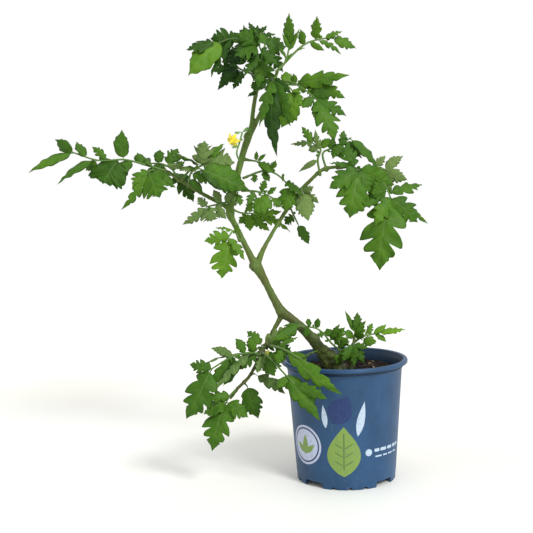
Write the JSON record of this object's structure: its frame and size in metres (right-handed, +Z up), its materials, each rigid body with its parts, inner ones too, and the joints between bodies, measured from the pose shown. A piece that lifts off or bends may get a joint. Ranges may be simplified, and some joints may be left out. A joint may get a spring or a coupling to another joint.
{
  "type": "tomato plant in a pot",
  "caption": "Young tomato plant with compound leaves and a yellow flower, growing out of the soil in a round nursery pot.",
  "frame": {"origin": "centre of the pot's base, on the ground that it stands on", "axes": "+Z up along the pot's axis, +X to the right of the plant's front, +Y away from the viewer"},
  "size_m": [0.3907, 0.1462, 0.4751],
  "materials": {
    "pot_plastic": "satin",
    "soil": "matte",
    "stem_skin": "satin",
    "leaf_blade": "satin",
    "old_leaf": "matte",
    "petal": "satin",
    "anther": "matte"
  },
  "bodies": {
    "root": {"pot": "pot_plastic", "potting_soil": "soil", "main_stem": "stem_skin", "leader_stem": "stem_skin", "upper_stem": "stem_skin", "right_branch": "stem_skin", "left_arm": "stem_skin", "lower_shoot": "stem_skin", "sucker_stem": "stem_skin", "leaf_crown_left": "leaf_blade", "leaf_crown_dark": "leaf_blade", "leaf_crown_middle": "leaf_blade", "leaf_crown_right": "leaf_blade", "leaf_crown_tuft": "leaf_blade", "leaf_top_right": "leaf_blade", "leaf_top_upright": "leaf_blade", "leaf_upper_right": "leaf_blade", "leaf_drooping_right": "leaf_blade", "leaf_hanging_dark": "leaf_blade", "leaf_hanging_light": "leaf_blade", "leaf_under_crown": "leaf_blade", "leaf_left_far": "leaf_blade", "leaf_left_near": "leaf_blade", "leaf_left_fork": "leaf_blade", "leaf_arch_top": "leaf_blade", "leaf_over_stem": "leaf_blade", "leaf_below_left": "leaf_blade", "leaf_front_small": "leaf_blade", "leaf_drooping_light": "leaf_blade", "leaf_sprig": "leaf_blade", "leaf_arch_right": "leaf_blade", "leaf_mid_centre": "leaf_blade", "leaf_low_centre": "leaf_blade", "leaf_behind_branch": "leaf_blade", "leaf_branch_fan": "leaf_blade", "leaf_right_tall": "leaf_blade", "leaf_right_back": "leaf_blade", "leaf_big_facing": "leaf_blade", "leaf_right_pale": "leaf_blade", "leaf_biggest": "leaf_blade", "leaf_bottom_arch": "leaf_blade", "leaf_bottom_top": "leaf_blade", "leaf_bottom_low": "leaf_blade", "leaf_bottom_dark": "leaf_blade", "leaf_bottom_pale": "leaf_blade", "leaf_bottom_round": "leaf_blade", "leaf_yellow": "old_leaf", "leaf_over_pot": "leaf_blade", "leaf_over_pot_low": "leaf_blade", "leaf_sucker_left": "leaf_blade", "leaf_sucker_up": "leaf_blade", "leaf_sucker_right": "leaf_blade", "leaf_sucker_low": "leaf_blade", "truss_stalk": "stem_skin", "flower_calyx": "leaf_blade", "flower_petals": "petal", "flower_anther_cone": "anther"}
  },
  "joints": []
}
